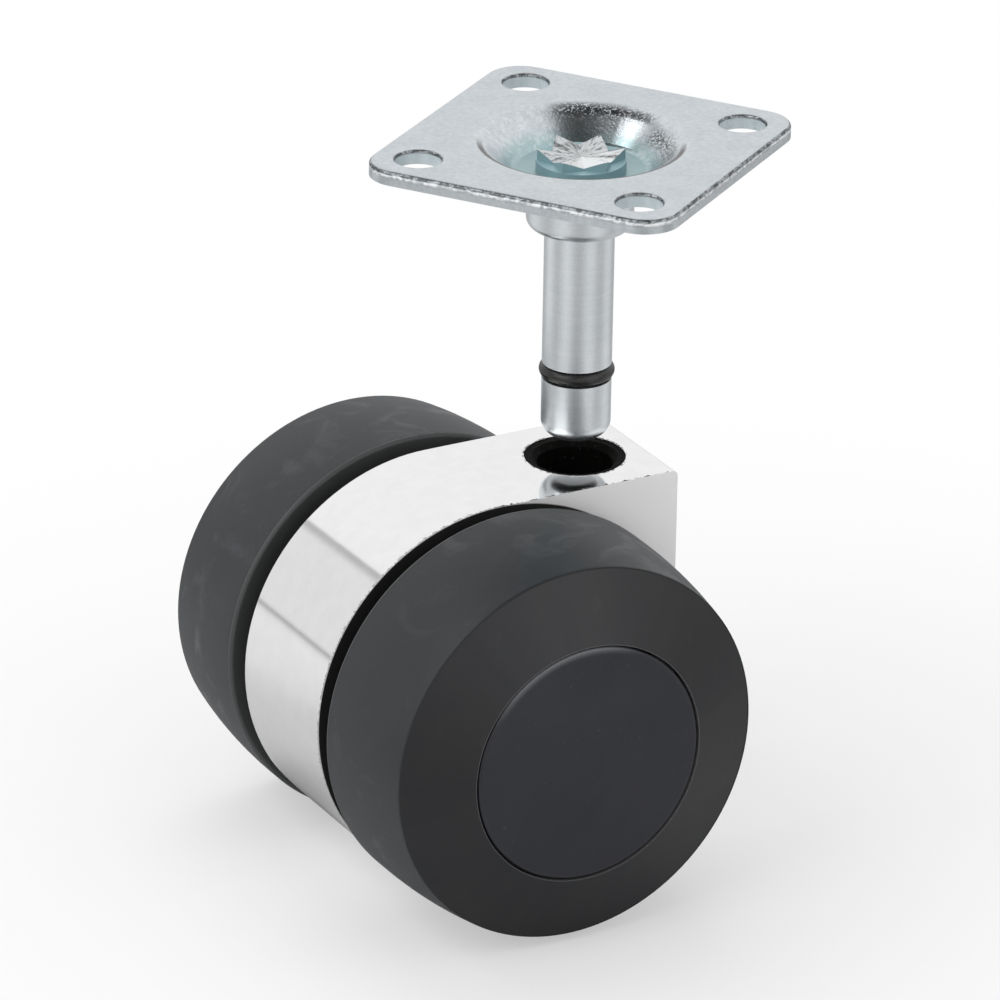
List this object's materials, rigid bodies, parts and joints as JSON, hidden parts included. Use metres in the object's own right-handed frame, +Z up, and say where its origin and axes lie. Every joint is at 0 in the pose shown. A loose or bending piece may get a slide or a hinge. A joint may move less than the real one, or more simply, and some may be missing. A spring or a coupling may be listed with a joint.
{
  "type": "castor",
  "caption": "Twin-wheel castor: chromed cast housing between soft black wheels with flush caps, and a square zinc-plated plate with a pin that plugs into the housing's socket.",
  "frame": {"origin": "centre of the plate's top face, on the swivel axis, in the middle of the four screw holes", "axes": "+Z up along the swivel axis, away from the wheels; the axle lies along Y and trails behind the pin, at -X"},
  "size_m": [0.0666, 0.065, 0.0903],
  "materials": {
    "zinc_plated_sheet": "bright zinc plate over pressed sheet",
    "zinc_plated_pin": "bright zinc plate over turned steel",
    "ring_rubber": "glossy black rubber",
    "chrome_housing": "polished chrome plate over a zinc die casting",
    "sleeve_plastic": "black moulded plastic",
    "axle_steel": "ground steel",
    "spring_steel": "blackened spring steel",
    "nylon": "natural nylon",
    "core_plastic": "fine matt moulded nylon",
    "soft_tread": "satin soft polyurethane",
    "cap_plastic": "smooth satin moulded plastic"
  },
  "bodies": {
    "top_unit": {"plate": "zinc_plated_sheet", "pin": "zinc_plated_pin"},
    "grip_ring": {"retaining_ring": "ring_rubber"},
    "castor_body": {"housing": "chrome_housing", "socket_sleeve": "sleeve_plastic", "axle": "axle_steel", "left_thrust_washer": "nylon", "left_lock_ring": "spring_steel", "right_thrust_washer": "nylon", "right_lock_ring": "spring_steel"},
    "left_wheel": {"left_bush": "nylon", "left_wheel_core": "core_plastic", "left_tread": "soft_tread", "left_cap": "cap_plastic"},
    "right_wheel": {"right_bush": "nylon", "right_wheel_core": "core_plastic", "right_tread": "soft_tread", "right_cap": "cap_plastic"}
  },
  "joints": [
    {"name": "swivel", "type": "hinge", "parent": "top_unit", "child": "grip_ring", "pos_m": [0, 0, 0], "axis": [0, 0, 1], "continuous": true},
    {"name": "plug_in", "type": "slide", "parent": "grip_ring", "child": "castor_body", "axis": [0, 0, 1], "range_m": [0, 0.0299]},
    {"name": "left_wheel_spin", "type": "hinge", "parent": "castor_body", "child": "left_wheel", "pos_m": [-0.0155, 0, -0.0653], "axis": [0, 1, 0], "continuous": true},
    {"name": "right_wheel_spin", "type": "hinge", "parent": "castor_body", "child": "right_wheel", "pos_m": [-0.0155, 0, -0.0653], "axis": [0, 1, 0], "continuous": true}
  ]
}
